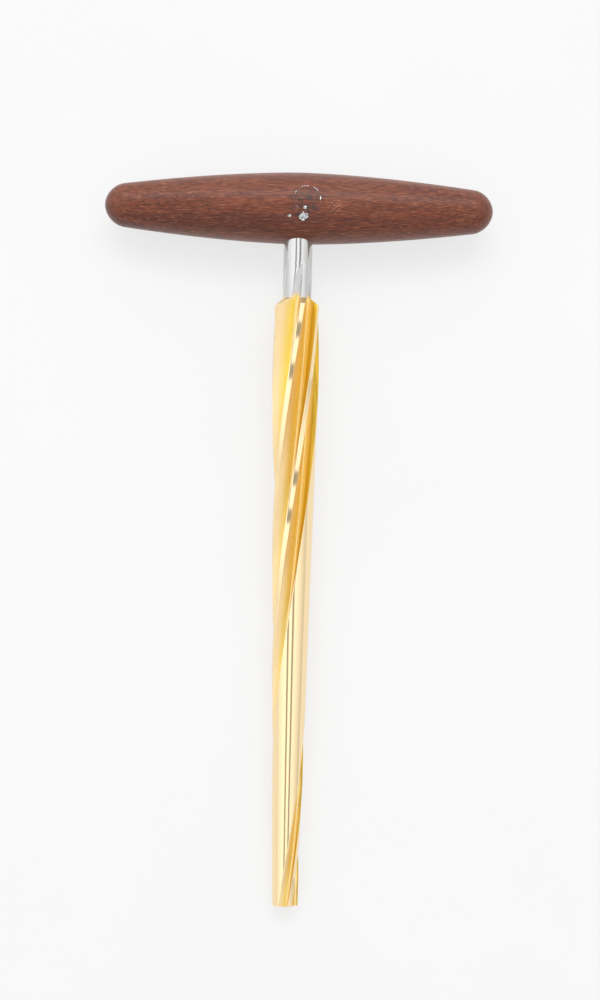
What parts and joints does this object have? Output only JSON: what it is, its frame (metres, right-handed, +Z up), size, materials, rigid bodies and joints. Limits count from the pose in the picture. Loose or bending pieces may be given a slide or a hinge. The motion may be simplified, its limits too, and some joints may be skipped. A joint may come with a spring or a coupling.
{
  "type": "tapered hand reamer",
  "caption": "Tapered hand reamer with spiral flutes, a wide guide land, a plain round shank and a turned wooden cross handle.",
  "frame": {"origin": "on the surface the tool lies on, under the middle of its bounding box", "axes": "+X along the cross handle, +Y from the tip towards the handle, +Z up, out of the tool's front; the tool lies tilted by 1.82 degrees on the handle's belly and its tip"},
  "size_m": [0.136, 0.2578, 0.0247],
  "materials": {
    "turned_wood": "waxed satin, fine dark pores along the handle",
    "coated_steel": "gold coloured hard coating on the ground flutes, bright steel shank",
    "pin_steel": "plain drawn wire",
    "epoxy": "cured, slightly cloudy",
    "worn_foil": "thin rubbed foil"
  },
  "bodies": {
    "root": {"handle": "turned_wood", "reamer": "coated_steel", "drive_pin": "pin_steel", "tang_adhesive": "epoxy", "foil_mark": "worn_foil"}
  },
  "joints": []
}
